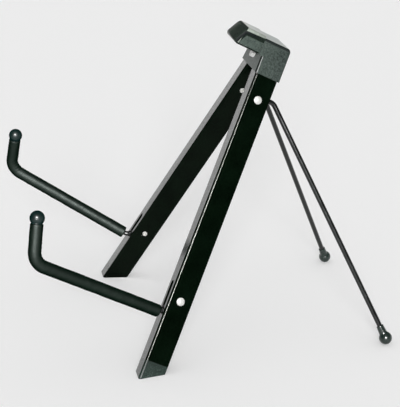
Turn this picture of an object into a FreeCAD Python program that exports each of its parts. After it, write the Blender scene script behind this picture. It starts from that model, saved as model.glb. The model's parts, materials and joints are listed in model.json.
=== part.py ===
import FreeCAD, Part
import math
import os
import re
import Sketcher

Vector = FreeCAD.Vector
Placement = FreeCAD.Placement
Rotation = FreeCAD.Rotation

RIGHT = 1
LEFT = -1
SIDE_NAMES = {RIGHT: "right", LEFT: "left"}

# Driving dimensions, in millimetres and degrees.
# A height or reach "along the leg" runs up the middle of a leg from the floor.
SIZES = {
    # the two legs: sheet channels, web to the front, that lean back and splay apart
    "lean_back_angle": 27.3,
    "splay_angle": 19.1,
    "hinge_height": 353.2,
    "leg_depth": 25.4,
    "leg_width": 18.8,
    "leg_sheet": 1.4,
    "leg_bend": 2.6,
    "leg_top_drop": 7.7,
    "foot_height": 12.2,
    "plug_length": 18.0,
    "plug_wall": 2.2,
    "foot_round": 0.8,
    # rivets, spacers and the flattened rod ends that turn on them
    "arm_rivet_height": 80.0,
    "rear_rivet_drop": 47.9,
    "rivet_shank": 5.0,
    "rivet_head": 8.6,
    "rivet_head_height": 1.9,
    "rivet_rim": 0.5,
    "rivet_tail": 5.8,
    "rivet_tail_end": 5.2,
    "rivet_tail_height": 1.2,
    "rivet_tail_bore": 3.2,
    "spacer_outside": 8.6,
    "rod_diameter": 5.6,
    "rod_flat": 4.0,
    "rod_eye": 11.0,
    "rod_eye_length": 8.0,
    # the two arms that carry the instrument
    "arm_drop": 16.9,
    "crank_reach": 15.5,
    "crank_bend": 6.0,
    "arm_toe_angle": 13.6,
    "arm_length": 155.4,
    "arm_bend": 17.0,
    "upturn_length": 44.3,
    "upturn_angle": 18.9,
    "slot_width": 6.6,
    "foam_diameter": 13.2,
    "foam_start": 3.6,
    "tip_diameter": 15.0,
    "tip_base": 5.6,
    "tip_socket": 4.5,
    # the two wire legs behind
    "rear_elbow_reach": 21.0,
    "rear_elbow_angle": 18.0,
    "rear_bend": 9.0,
    "rear_foot_spread": 114.0,
    "rear_foot_reach": 260.5,
    "rear_foot_diameter": 14.0,
    "rear_neck_length": 15.0,
    "rear_neck_top": 6.8,
    "rear_neck_base": 8.4,
    "rear_foot_socket": 3.0,
    "heel_height": 6.0,
    # the head: a hood over both leg tops, the hinge inside it and the rubber nose
    "folded_gap": 8.5,
    "hood_wall": 1.5,
    "hood_rear_wall": 2.6,
    "hood_reach": 22.1,
    "hood_round": 2.4,
    "roof_low": 4.4,
    "roof_over": 22.2,
    "roof_front": 17.0,
    "roof_round": 4.0,
    "roof_side_round": 2.0,
    "knuckle_diameter": 10.4,
    "knuckle_width": 9.6,
    "pin_diameter": 5.0,
    "pin_end": 8.0,
    "pin_end_height": 1.2,
    "pin_head": 7.8,
    "pin_head_height": 4.2,
    "pin_head_round": 1.0,
    "nose_half_width": 19.6,
    "bumper_top": 7.9,
    "bumper_proud": 2.4,
    "bumper_under": 1.8,
    "bumper_front": 5.8,
    "bumper_front_top": 39.5,
    "bumper_front_foot": 48.9,
    "bumper_top_round": 3.0,
    "bumper_foot_round": 4.5,
    "bumper_side_round": 1.6,
    # fits
    "fit_gap": 0.1,
    "running_gap": 0.06,
    "side_gap": 0.2,
    "stop_gap": 0.3,
}

doc = FreeCAD.newDocument("guitar_stand")
sheet = doc.addObject("Spreadsheet::Sheet", "Sizes")
for row, (alias, number) in enumerate(SIZES.items(), start=1):
    sheet.set(f"A{row}", str(number))
    sheet.setAlias(f"A{row}", alias)
doc.recompute()


# Expressions, sketches and features

def formula(text):
    """Point every size named in a formula at its cell of the sheet."""
    def cell(word):
        return f"Sizes.{word[0]}" if word[0] in SIZES else word[0]

    return re.sub(r"[a-z_]+", cell, text)


def value(text):
    """The number that a formula gives at the sheet's present sizes."""
    return float(sheet.evalExpression(formula(text)))


def bind(item, **formulas):
    """Tie properties of an object to formulas; two underscores stand for a dot."""
    for name, text in formulas.items():
        item.setExpression(name.replace("__", "."), formula(text))
    return item


def primitive(kind, name, placement=Placement(), **formulas):
    """A solid such as a box or a cylinder, with its sizes tied to the sheet."""
    item = bind(doc.addObject(f"Part::{kind}", name), **formulas)
    item.Placement = placement
    return item


def fused(name, *pieces):
    item = doc.addObject("Part::MultiFuse", name)
    item.Shapes = list(pieces)
    return item


def cut(name, base, tool):
    item = doc.addObject("Part::Cut", name)
    item.Base = base
    item.Tool = tool
    return item


def computed(name, shape):
    """A bent solid that no primitive or sketch gives."""
    item = doc.addObject("Part::Feature", name)
    item.Shape = shape
    return item


def sketch_on(body, role, turn="0", **offset):
    """A sketch on one of its body's origin planes, shifted and turned within it by formulas."""
    sketch = body.newObject("Sketcher::SketchObject", "sketch")
    plane = next(item for item in body.Origin.OriginFeatures if item.Role == role)
    sketch.AttachmentSupport = [(plane, "")]
    sketch.MapMode = "FlatFace"
    sketch.AttachmentOffset = Placement(Vector(), Rotation(Vector(0, 0, 1), value(turn)))
    for axis, text in offset.items():
        bind(sketch, **{f"AttachmentOffset__Base__{axis}": text})
    return sketch


def locate(sketch, line, point, x, y):
    """Tie one point of a sketch to its two coordinates."""
    for kind, text in (("DistanceX", x), ("DistanceY", y)):
        number = sketch.addConstraint(Sketcher.Constraint(kind, line, point, value(text)))
        bind(sketch, **{f"Constraints[{number}]": text})


def outline(sketch, corners):
    """A closed outline of straight lines through the corners, each tied to the sheet."""
    points = [Vector(value(x), value(y), 0) for x, y in corners]
    following = points[1:] + points[:1]
    lines = [sketch.addGeometry(Part.LineSegment(a, b)) for a, b in zip(points, following)]
    for line, after in zip(lines, lines[1:] + lines[:1]):
        sketch.addConstraint(Sketcher.Constraint("Coincident", line, 2, after, 1))
    for line, (x, y) in zip(lines, corners):
        locate(sketch, line, 1, x, y)
    return sketch


def ring(sketch, x, y, radius):
    """A circle whose centre and radius are tied to the sheet."""
    circle = Part.Circle(Vector(value(x), value(y), 0), Vector(0, 0, 1), value(radius))
    line = sketch.addGeometry(circle)
    locate(sketch, line, 3, x, y)
    number = sketch.addConstraint(Sketcher.Constraint("Radius", line, value(radius)))
    bind(sketch, **{f"Constraints[{number}]": radius})
    return sketch


def block_outline(half_width, low, high):
    """The corners of a rectangle that stands evenly about the vertical axis."""
    other = f"-({half_width})"
    return [(other, low), (half_width, low), (half_width, high), (other, high)]


def pad(body, sketch, length, symmetric=False, backward=False):
    item = bind(body.newObject("PartDesign::Pad", "pad"), Length=length)
    item.Profile = sketch
    item.Midplane = symmetric
    item.Reversed = backward
    doc.recompute()
    return item


def pocket(body, sketch, length, symmetric=False, backward=False):
    """A cut from a sketch; it must take something away."""
    before = body.Shape.Volume
    item = bind(body.newObject("PartDesign::Pocket", "pocket"), Length=length)
    item.Profile = sketch
    item.Midplane = symmetric
    item.Reversed = backward
    doc.recompute()
    if body.Shape.Volume > before - 0.01:
        raise RuntimeError(f"a pocket of {body.Label} cuts nothing")
    return item


def round_edges(body, radius, wanted):
    """Round the edges whose end points and middle all pass the test."""
    names = []
    for number, edge in enumerate(body.Shape.Edges, start=1):
        middle = edge.valueAt((edge.FirstParameter + edge.LastParameter) / 2)
        points = [middle] + [vertex.Point for vertex in edge.Vertexes]
        if all(wanted(point) for point in points):
            names.append(f"Edge{number}")
    if not names:
        raise RuntimeError(f"{body.Label} has no edge to round")
    base = body.Tip
    item = bind(body.newObject("PartDesign::Fillet", "rounding"), Radius=radius)
    item.Base = (base, names)
    doc.recompute()
    if not item.isValid():
        raise RuntimeError(f"a rounding of {body.Label} fails")
    return item


def near(a, b):
    return abs(a - b) < 0.01


def bent_path(points, radii):
    """Straight runs through the points, joined by tangent arcs of the given radii."""
    edges = []
    start = points[0]
    for before, corner, after, radius in zip(points, points[1:], points[2:], radii):
        arriving = (corner - before).normalize()
        leaving = (after - corner).normalize()
        turn = arriving.getAngle(leaving)
        trim = radius * math.tan(turn / 2)
        inward = (leaving - arriving).normalize()
        middle = corner + inward * (radius / math.cos(turn / 2) - radius)
        first = corner - arriving * trim
        last = corner + leaving * trim
        edges.append(Part.LineSegment(start, first).toShape())
        edges.append(Part.Arc(first, middle, last).toShape())
        start = last
    edges.append(Part.LineSegment(start, points[-1]).toShape())
    return Part.Wire(edges)


def tube(path, radius):
    """A round solid swept along a path, checked against its section times its length."""
    first = path.Edges[0]
    start = first.valueAt(first.FirstParameter)
    section = Part.Wire(Part.makeCircle(radius, start, first.tangentAt(first.FirstParameter)))
    solid = path.makePipeShell([section], True, False)
    expected = math.pi * radius ** 2 * path.Length
    if abs(solid.Volume - expected) > 0.01 * expected:
        raise RuntimeError("a swept rod has the wrong volume")
    return solid


def along(direction):
    """The rotation that stands a shape's vertical axis along a direction."""
    return Rotation(Vector(0, 0, 1), direction)


# Shared places
# Each leg has its own frame: X across it to the right, Y to its open rear and Z up along it.
# The head has the frame of the plane that both legs lie in: X across, Y to the rear, Z up.

HINGE_INSET = "(leg_width / 2 + folded_gap / 2)"
HINGE_RISE = f"(hinge_height * cos(splay_angle) - {HINGE_INSET} * sin(splay_angle))"
FOOT_SPREAD = f"(hinge_height * sin(splay_angle) + {HINGE_INSET} * cos(splay_angle))"
REAR_RIVET = "(hinge_height - rear_rivet_drop)"
LEG_TOP = "(hinge_height - leg_top_drop)"
INNER_HALF = "(leg_width / 2 - leg_sheet)"

# The hood's faces from the hinge; its right side follows the right leg's outer face.
HOOD_HALF = "(leg_width / 2 + hood_wall)"
HOOD_REAR = "(leg_depth / 2 + hood_rear_wall)"
HOOD_FRONT = "(leg_depth / 2 + hood_wall)"
HOOD_DROP = f"(hood_reach * cos(splay_angle) - ({HINGE_INSET} + {HOOD_HALF}) * sin(splay_angle))"

# The left cap's outer top edge comes up under the roof when the stand is open.
LEFT_CAP_RISE = f"({HINGE_RISE} + roof_low - stop_gap - leg_width / 2 * sin(splay_angle))"
LEFT_CAP_TOP = f"({LEFT_CAP_RISE} / cos(splay_angle))"

# Half the slot's height: the rod's crossing of the web at rest, half its thickness and a gap.
ROD_CROSSING = "(leg_depth / 2 * arm_drop / crank_reach)"
ROD_IN_SLOT = "(rod_diameter / 2 / cos(atan(arm_drop / crank_reach)))"
SLOT_HALF = f"({ROD_CROSSING} + {ROD_IN_SLOT} + stop_gap)"

head_frame = Placement(Vector(), Rotation(Vector(1, 0, 0), -value("lean_back_angle")))


def leg_frame(side):
    splayed = Rotation(Vector(0, 1, 0), -side * value("splay_angle"))
    return head_frame * Placement(Vector(side * value(FOOT_SPREAD), 0, 0), splayed)


nodes = {}


def node(label, item, frame):
    """Name a finished piece and set it in its frame."""
    item.Label = label
    item.Placement = frame * item.Placement
    nodes[label] = item


# Legs

def leg_channel(side):
    """A sheet channel with its web to the front, a slot for the arm and four rivet holes."""
    body = doc.addObject("PartDesign::Body", "leg_channel")
    section = sketch_on(body, "XY_Plane", z="foot_height")
    outline(section, [
        ("-leg_width / 2", "leg_depth / 2"), ("-leg_width / 2", "-leg_depth / 2"),
        ("leg_width / 2", "-leg_depth / 2"), ("leg_width / 2", "leg_depth / 2"),
        (INNER_HALF, "leg_depth / 2"), (INNER_HALF, "leg_sheet - leg_depth / 2"),
        (f"-{INNER_HALF}", "leg_sheet - leg_depth / 2"), (f"-{INNER_HALF}", "leg_depth / 2")])
    pad(body, section, f"{LEG_TOP} - foot_height")
    front = -value("leg_depth / 2")
    side_face = value("leg_width / 2")
    round_edges(body, "leg_bend", lambda p: near(p.y, front) and near(abs(p.x), side_face))
    inside = front + value("leg_sheet")
    inner_face = value(INNER_HALF)
    round_edges(body, "leg_bend - leg_sheet",
                lambda p: near(p.y, inside) and near(abs(p.x), inner_face))
    low = f"arm_rivet_height - {SLOT_HALF} + slot_width / 2"
    high = f"arm_rivet_height + {SLOT_HALF} - slot_width / 2"
    slot = sketch_on(body, "XZ_Plane", z="leg_depth / 2")
    outline(slot, block_outline("slot_width / 2", low, high))
    pocket(body, slot, "leg_sheet * 2")
    for end in (low, high):
        slot_end = sketch_on(body, "XZ_Plane", z="leg_depth / 2")
        ring(slot_end, "0", end, "slot_width / 2")
        pocket(body, slot_end, "leg_sheet * 2")
    for height in ("arm_rivet_height", REAR_RIVET):
        holes = sketch_on(body, "YZ_Plane")
        ring(holes, "0", height, "rivet_shank / 2 + running_gap")
        pocket(body, holes, "leg_width * 2", symmetric=True)
    node(f"{SIDE_NAMES[side]}_leg_channel", body, leg_frame(side))


# A plug inside a channel: half its width, its front and its rear.
PLUG_HALF = f"({INNER_HALF} - fit_gap)"
PLUG_FRONT = "(leg_bend - leg_depth / 2)"
PLUG_REAR = "(leg_depth / 2 - leg_sheet)"


def foot_cap(side):
    """A plastic foot flush with the channel, plugged into it and cut level with the floor."""
    body = doc.addObject("PartDesign::Body", "foot_cap")
    section = sketch_on(body, "XY_Plane", z="foot_height")
    outline(section, block_outline("leg_width / 2", "-leg_depth / 2", "leg_depth / 2"))
    pad(body, section, "leg_depth + leg_width", backward=True)
    front = -value("leg_depth / 2")
    side_face = value("leg_width / 2")
    round_edges(body, "leg_bend", lambda p: near(p.y, front) and near(abs(p.x), side_face))
    plug = sketch_on(body, "XY_Plane", z="foot_height")
    outline(plug, block_outline(PLUG_HALF, PLUG_FRONT, PLUG_REAR))
    pad(body, plug, "plug_length")
    hollow = sketch_on(body, "XY_Plane", z="foot_height + plug_length")
    hollow_half = f"({PLUG_HALF} - plug_wall)"
    outline(hollow, block_outline(hollow_half, f"{PLUG_FRONT} + plug_wall", f"{PLUG_REAR} - plug_wall"))
    pocket(body, hollow, "plug_length")
    floor = sketch_on(body, "XY_Plane")
    floor.AttachmentOffset = Placement(Vector(), leg_frame(side).Rotation.inverted())
    outline(floor, block_outline("leg_depth * 2", "-leg_depth * 2", "leg_depth * 2"))
    pocket(body, floor, "leg_depth * 3")
    to_floor = leg_frame(side)
    round_edges(body, "foot_round", lambda p: near(to_floor.multVec(p).z, 0))
    node(f"{SIDE_NAMES[side]}_foot_cap", body, leg_frame(side))


# Rivets and spacers

def domed_head(seat):
    """A rivet's head on a seat whose vertical axis points outward: a rim under a cap of a sphere."""
    dome_height = "(rivet_head_height - rivet_rim)"
    dome_radius = f"((rivet_head ^ 2 / 4 + {dome_height} ^ 2) / (2 * {dome_height}))"
    dome_rise = f"({dome_radius} - {dome_height})"
    rim = primitive("Cylinder", "head_rim", seat, Radius="rivet_head / 2", Height="rivet_rim")
    centre = seat * Placement(Vector(0, 0, value(f"rivet_rim - {dome_rise}")), Rotation())
    dome = primitive("Sphere", "head_dome", centre, Radius=dome_radius,
                     Angle1=f"asin({dome_rise} / {dome_radius})")
    return rim, dome


def rivet(label, side, height):
    """A domed rivet across a leg, its head outside and its rolled tail on the inner face."""
    outward = Placement(Vector(0, 0, value(height)), Rotation(Vector(0, 0, 1), Vector(side, 0, 0)))

    def at(reach):
        """A place on the rivet's axis, a reach outward from the middle of the leg."""
        return outward * Placement(Vector(0, 0, value(reach)), Rotation())

    face = "leg_width / 2"
    tail_end = f"-{face} - rivet_tail_height"
    shank = primitive("Cylinder", "shank", at(tail_end), Radius="rivet_shank / 2",
                      Height="leg_width + rivet_tail_height + rivet_rim")
    tail = primitive("Cone", "tail", at(tail_end), Radius1="rivet_tail_end / 2",
                     Radius2="rivet_tail / 2", Height="rivet_tail_height")
    bore = primitive("Cylinder", "tail_bore", at(tail_end), Radius="rivet_tail_bore / 2",
                     Height="rivet_tail_height * 2")
    whole = cut("rivet", fused("rivet_solid", shank, tail, *domed_head(at(face))), bore)
    node(label, whole, leg_frame(side))


def spacers(label, side, height):
    """Two tubes on a rivet that keep a rod's flattened end in the middle of the channel."""
    tubes = []
    for direction in (RIGHT, LEFT):
        inner = value("rod_flat / 2 + side_gap / 2")
        turn = Rotation(Vector(0, 0, 1), Vector(direction, 0, 0))
        place = Placement(Vector(direction * inner, 0, value(height)), turn)
        length = f"{INNER_HALF} - rod_flat / 2 - side_gap"
        outer = primitive("Cylinder", "spacer_outside", place,
                          Radius="spacer_outside / 2", Height=length)
        bore = primitive("Cylinder", "spacer_bore", place,
                         Radius="rivet_shank / 2 + fit_gap", Height=length)
        tubes.append(cut("spacer", outer, bore))
    pair = doc.addObject("Part::Compound", "spacers")
    pair.Links = tubes
    node(label, pair, leg_frame(side))


def flattened_end(height, direction):
    """The flat, rounded end of a rod about its rivet, reaching along a direction, and its hole."""
    across = Rotation(Vector(0, 0, 1), Vector(1, 0, 0))
    half = value("rod_flat / 2")
    centre = Vector(0, 0, height)
    disc = primitive("Cylinder", "eye_disc", Placement(centre - Vector(half, 0, 0), across),
                     Radius="rod_eye / 2", Height="rod_flat")
    tilt = math.degrees(math.atan2(-direction.y, direction.z))
    turned = Placement(centre, Rotation(Vector(1, 0, 0), tilt))
    corner = Placement(Vector(-half, -value("rod_eye / 2"), 0), Rotation())
    tongue = primitive("Box", "tongue", turned * corner,
                       Length="rod_flat", Width="rod_eye", Height="rod_eye_length")
    hole = primitive("Cylinder", "rivet_hole", Placement(centre - Vector(2 * half, 0, 0), across),
                     Radius="rivet_shank / 2 + running_gap", Height="rod_flat * 2")
    return disc, tongue, hole


# Arms

def arm_points(side):
    """The arm in its leg's frame: rivet, crank, far corner and tip, and its two directions."""
    toe = math.radians(value("arm_toe_angle"))
    lean = math.radians(value("upturn_angle"))
    forward = Vector(side * math.sin(toe), -math.cos(toe), 0)
    upward = forward * math.sin(lean) + Vector(0, 0, math.cos(lean))
    rivet_centre = Vector(0, 0, value("arm_rivet_height"))
    crank = rivet_centre + Vector(0, -value("crank_reach"), -value("arm_drop"))
    corner = crank + forward * value("arm_length")
    tip = corner + upward * value("upturn_length")
    return rivet_centre, crank, corner, tip, forward, upward


def arm(side):
    """The cranked rod, the foam sleeve over its reach and upturn, and the ball on its end."""
    name = SIDE_NAMES[side]
    rivet_centre, crank, corner, tip, forward, upward = arm_points(side)
    outward = (crank - rivet_centre).normalize()
    start = rivet_centre + outward * value("rod_eye / 2")
    rod_end = tip + upward * (value("tip_socket") - value("fit_gap"))
    path = bent_path([start, crank, corner, rod_end], [value("crank_bend"), value("arm_bend")])
    rod = computed("arm_rod_bar", tube(path, value("rod_diameter / 2")))
    disc, tongue, hole = flattened_end(rivet_centre.z, outward)
    solid = fused("arm_rod_solid", rod, disc, tongue)
    node(f"{name}_arm_rod", cut("arm_rod", solid, hole), leg_frame(side))

    foam_start = crank + forward * value("foam_start")
    foam_end = tip - upward * value("tip_base")
    foam_path = bent_path([foam_start, corner, foam_end], [value("arm_bend")])
    outer = tube(foam_path, value("foam_diameter / 2"))
    bore = tube(foam_path, value("rod_diameter / 2 + fit_gap"))
    node(f"{name}_arm_foam", computed("arm_foam", outer.cut(bore)), leg_frame(side))

    upright = Placement(tip, along(upward))
    ball = primitive("Sphere", "tip_ball", upright, Radius="tip_diameter / 2",
                     Angle1="-asin(tip_base / (tip_diameter / 2))")
    base = upright * Placement(Vector(0, 0, -value("tip_base")), Rotation())
    socket = primitive("Cylinder", "tip_socket", base,
                       Radius="rod_diameter / 2 + fit_gap", Height="tip_base + tip_socket")
    node(f"{name}_arm_tip", cut("arm_tip", ball, socket), leg_frame(side))


# Rear wire legs

def rear_points(side):
    """The rear rod's points in its leg's frame: rivet, elbow and the middle of its ball foot."""
    rise = math.radians(value("rear_elbow_angle"))
    rivet_centre = Vector(0, 0, value(REAR_RIVET))
    outward = Vector(0, math.cos(rise), math.sin(rise))
    elbow = rivet_centre + outward * value("rear_elbow_reach")
    on_floor = Vector(side * value("rear_foot_spread"), value("rear_foot_reach"), 0)
    ball = on_floor + Vector(0, 0, value("rear_foot_diameter / 2"))
    return rivet_centre, elbow, leg_frame(side).inverse().multVec(ball), outward


def rear_leg(side):
    """The wire leg behind a channel, the heel that stops it when open, and its rubber ball foot."""
    name = SIDE_NAMES[side]
    rivet_centre, elbow, ball, outward = rear_points(side)
    downward = (ball - elbow).normalize()
    start = rivet_centre + outward * value("rod_eye / 2")
    rod_end = ball + downward * (value("rear_foot_socket") - value("fit_gap"))
    path = bent_path([start, elbow, rod_end], [value("rear_bend")])
    rod = computed("rear_rod_bar", tube(path, value("rod_diameter / 2")))
    disc, tongue, hole = flattened_end(rivet_centre.z, outward)
    heel_reach = "leg_depth / 2 - leg_sheet - stop_gap"
    heel_corner = rivet_centre - Vector(value("rod_flat / 2"), value(heel_reach), 0)
    heel = primitive("Box", "heel", Placement(heel_corner, Rotation()),
                     Length="rod_flat", Width=heel_reach, Height="heel_height")
    solid = fused("rear_rod_solid", rod, disc, tongue, heel)
    node(f"{name}_rear_rod", cut("rear_rod", solid, hole), leg_frame(side))

    upright = Placement(ball, along(-downward))
    sphere = primitive("Sphere", "foot_ball", upright, Radius="rear_foot_diameter / 2")
    neck = primitive("Cone", "foot_neck", upright, Height="rear_neck_length",
                     Radius1="rear_neck_base / 2", Radius2="rear_neck_top / 2")
    base = upright * Placement(Vector(0, 0, -value("rear_foot_socket")), Rotation())
    socket = primitive("Cylinder", "foot_socket", base, Radius="rod_diameter / 2 + fit_gap",
                       Height="rear_foot_socket + rear_neck_length * 2")
    solid = fused("rear_foot_solid", sphere, neck)
    node(f"{name}_rear_foot", cut("rear_foot", solid, socket), leg_frame(side))


# Head

BUMPER_TOP = "(roof_over + bumper_proud)"
NOSE_TOP = f"({BUMPER_TOP} - bumper_top)"
NOSE_FOOT = "(roof_low + bumper_under)"
BUMPER_SLOPE = f"((bumper_front_foot - bumper_front_top) / ({BUMPER_TOP} - roof_low))"


def nose_front(height):
    """The reach of the plastic nose at a height above the hinge, a rubber wall behind the bumper."""
    return f"(bumper_front_top + ({BUMPER_TOP} - ({height})) * {BUMPER_SLOPE} - bumper_front)"


def leg_line(offset, height):
    """The place across, at a height above the hinge, of a line along a leg, outward from the hinge."""
    return f"(({offset}) / cos(splay_angle) - ({height}) * tan(splay_angle))"


# The left leg swings inside an upright left wall, which clears its outer face at the hood's mouth.
SWING_LEFT = leg_line(f"{HINGE_INSET} + leg_width / 2 + stop_gap", f"-{HOOD_DROP}")
HOOD_LEFT = f"({SWING_LEFT} + hood_wall)"


def hood_right(height):
    """The reach of the hood's right side at a height above the hinge."""
    return leg_line(f"{HINGE_INSET} + {HOOD_HALF}", height)


def on_hood_side(point):
    """Whether a point lies on the hood's right or left side."""
    rise = point.z - value(HINGE_RISE)
    return near(point.x, value(hood_right(rise))) or near(point.x, -value(HOOD_LEFT))


def hood_outline(low, high):
    """The hood's corners, seen from the front, between two heights above the hinge."""
    left = f"-{HOOD_LEFT}"
    return [(left, low), (hood_right(low), low), (hood_right(high), high), (left, high)]


def head_block():
    """The hood on the right leg's top: it covers both legs and carries the hinge pin and the nose."""
    body = doc.addObject("PartDesign::Body", "head_block")
    hood = sketch_on(body, "XZ_Plane", y=HINGE_RISE, z=f"-{HOOD_REAR}")
    outline(hood, hood_outline(f"-{HOOD_DROP}", "roof_over"))
    pad(body, hood, f"{HOOD_REAR} + {HOOD_FRONT}")
    brow = sketch_on(body, "XZ_Plane", y=HINGE_RISE, z=HOOD_FRONT)
    outline(brow, hood_outline("roof_low", "roof_over"))
    pad(body, brow, f"roof_front - {HOOD_FRONT}")
    rear = value(HOOD_REAR)
    top = value(f"{HINGE_RISE} + roof_over")
    front = -value(HOOD_FRONT)
    round_edges(body, "roof_round", lambda p: near(p.z, top) and near(p.y, rear))
    round_edges(body, "roof_side_round", lambda p: near(p.z, top) and on_hood_side(p))
    round_edges(body, "hood_round", lambda p: near(p.y, front) and on_hood_side(p))
    nose = sketch_on(body, "YZ_Plane", y=HINGE_RISE)
    outline(nose, [("-roof_front", NOSE_FOOT), (f"-{nose_front(NOSE_FOOT)}", NOSE_FOOT),
                   (f"-{nose_front(NOSE_TOP)}", NOSE_TOP), ("-roof_front", NOSE_TOP)])
    pad(body, nose, "nose_half_width * 2", symmetric=True)
    leg_hole = sketch_on(body, "XZ_Plane", turn="splay_angle", x=FOOT_SPREAD)
    below = "hinge_height - hood_reach - leg_depth"
    outline(leg_hole, block_outline("leg_width / 2 + fit_gap", below, f"{LEG_TOP} + fit_gap"))
    pocket(body, leg_hole, "leg_depth + fit_gap * 2", symmetric=True)
    swing_depth = "leg_depth + stop_gap * 2"
    swing_low = f"-({HOOD_DROP} + leg_width)"
    swing_right = "folded_gap / 2"
    swing = sketch_on(body, "XZ_Plane", y=HINGE_RISE)
    outline(swing, [(f"-{SWING_LEFT}", swing_low),
                    (leg_line(swing_right, swing_low), swing_low),
                    (leg_line(swing_right, "roof_low"), "roof_low"),
                    (f"-{SWING_LEFT}", "roof_low")])
    pocket(body, swing, swing_depth, symmetric=True)
    cheeks = sketch_on(body, "XZ_Plane", y=HINGE_RISE)
    ring(cheeks, "0", "0", "knuckle_diameter / 2")
    pad(body, cheeks, swing_depth, symmetric=True)
    chamber = sketch_on(body, "XZ_Plane", y=HINGE_RISE)
    ring(chamber, "0", "0", "knuckle_diameter / 2 + stop_gap")
    pocket(body, chamber, "knuckle_width + side_gap * 2", symmetric=True)
    pin_hole = sketch_on(body, "XZ_Plane", y=HINGE_RISE, z=f"-{HOOD_REAR}")
    ring(pin_hole, "0", "0", "pin_diameter / 2 + running_gap")
    pocket(body, pin_hole, f"{HOOD_REAR} + {HOOD_FRONT}", backward=True)
    pin_seat = sketch_on(body, "XZ_Plane", y=HINGE_RISE, z=f"-{HOOD_REAR}")
    ring(pin_seat, "0", "0", "pin_end / 2 + fit_gap")
    pocket(body, pin_seat, "pin_end_height", backward=True)
    node("head_block", body, head_frame)


def left_head_cap():
    """The left leg's cap: a plug in the channel, a shoulder and the knuckle on the hinge pin."""
    body = doc.addObject("PartDesign::Body", "left_head_cap")
    shoulder = sketch_on(body, "XZ_Plane")
    outline(shoulder, block_outline("leg_width / 2", LEG_TOP, LEFT_CAP_TOP))
    pad(body, shoulder, "leg_depth", symmetric=True)
    plug = sketch_on(body, "XY_Plane", z=LEG_TOP)
    outline(plug, block_outline(PLUG_HALF, PLUG_FRONT, PLUG_REAR))
    pad(body, plug, "plug_length", backward=True)
    arm_outer = f"({HINGE_INSET} - knuckle_diameter / 2)"
    knuckle_arm = sketch_on(body, "XZ_Plane")
    outline(knuckle_arm, [(arm_outer, LEG_TOP), (HINGE_INSET, LEG_TOP),
                          (HINGE_INSET, "hinge_height"), (arm_outer, "hinge_height")])
    pad(body, knuckle_arm, "knuckle_width", symmetric=True)
    knuckle = sketch_on(body, "XZ_Plane")
    ring(knuckle, HINGE_INSET, "hinge_height", "knuckle_diameter / 2")
    pad(body, knuckle, "knuckle_width", symmetric=True)
    pin_hole = sketch_on(body, "XZ_Plane")
    ring(pin_hole, HINGE_INSET, "hinge_height", "pin_diameter / 2 + running_gap")
    pocket(body, pin_hole, "knuckle_width * 2", symmetric=True)
    node("left_head_cap", body, leg_frame(LEFT))


def hinge_pin():
    """The hinge pin through the hood: a flat end let in at the rear, a round head under the nose."""
    body = doc.addObject("PartDesign::Body", "hinge_pin")
    shank = sketch_on(body, "XZ_Plane", y=HINGE_RISE, z=f"-{HOOD_REAR}")
    ring(shank, "0", "0", "pin_diameter / 2")
    pad(body, shank, f"{HOOD_REAR} + {HOOD_FRONT}")
    flat_end = sketch_on(body, "XZ_Plane", y=HINGE_RISE, z=f"-{HOOD_REAR}")
    ring(flat_end, "0", "0", "pin_end / 2")
    pad(body, flat_end, "pin_end_height")
    head = sketch_on(body, "XZ_Plane", y=HINGE_RISE, z=HOOD_FRONT)
    ring(head, "0", "0", "pin_head / 2")
    pad(body, head, "pin_head_height")
    tip = -value(f"{HOOD_FRONT} + pin_head_height")
    round_edges(body, "pin_head_round", lambda p: near(p.y, tip))
    node("hinge_pin", body, head_frame)


def nose_bumper():
    """The rubber nose: a sloping front with a rounded foot that laps over and under the plastic."""
    body = doc.addObject("PartDesign::Body", "nose_bumper")
    profile = sketch_on(body, "YZ_Plane", y=HINGE_RISE)
    outline(profile, [
        ("-roof_front", BUMPER_TOP), ("-bumper_front_top", BUMPER_TOP),
        ("-bumper_front_foot", "roof_low"), ("-roof_front", "roof_low"),
        ("-roof_front", NOSE_FOOT), (f"-{nose_front(NOSE_FOOT)}", NOSE_FOOT),
        (f"-{nose_front(NOSE_TOP)}", NOSE_TOP), ("-roof_front", NOSE_TOP)])
    pad(body, profile, "nose_half_width * 2", symmetric=True)
    high = value(f"{HINGE_RISE} + {BUMPER_TOP}")
    low = value(f"{HINGE_RISE} + roof_low")
    front_top = -value("bumper_front_top")
    front_foot = -value("bumper_front_foot")
    round_edges(body, "bumper_top_round", lambda p: near(p.y, front_top) and near(p.z, high))
    round_edges(body, "bumper_foot_round", lambda p: near(p.y, front_foot) and near(p.z, low))
    side = value("nose_half_width")
    round_edges(body, "bumper_side_round", lambda p: near(abs(p.x), side) and near(p.z, high))
    node("nose_bumper", body, head_frame)


for leg_side in (RIGHT, LEFT):
    side_name = SIDE_NAMES[leg_side]
    leg_channel(leg_side)
    foot_cap(leg_side)
    rivet(f"{side_name}_arm_rivet", leg_side, "arm_rivet_height")
    spacers(f"{side_name}_arm_spacers", leg_side, "arm_rivet_height")
    arm(leg_side)
    rivet(f"{side_name}_rear_rivet", leg_side, REAR_RIVET)
    spacers(f"{side_name}_rear_spacers", leg_side, REAR_RIVET)
    rear_leg(leg_side)
head_block()
left_head_cap()
hinge_pin()
nose_bumper()
doc.recompute()

# The origin is on the floor under the middle of the stand's box.
whole_box = Part.makeCompound([item.Shape for item in nodes.values()]).optimalBoundingBox(False)
to_origin = Vector(-whole_box.Center.x, -whole_box.Center.y, -whole_box.ZMin)
for item in nodes.values():
    item.Placement = Placement(to_origin, Rotation()) * item.Placement
doc.recompute()

for item in doc.Objects:
    if "Invalid" in item.State or "Error" in item.State:
        raise RuntimeError(f"{item.Label} failed: {item.State}")
for label, item in nodes.items():
    if item.Shape.isNull() or not item.Shape.isValid():
        raise RuntimeError(f"{label} has no valid shape")

os.makedirs("parts", exist_ok=True)
for label, item in nodes.items():
    item.Shape.exportStep(f"parts/{label}.step")


# The places that the joints and the rest on the floor need

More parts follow.
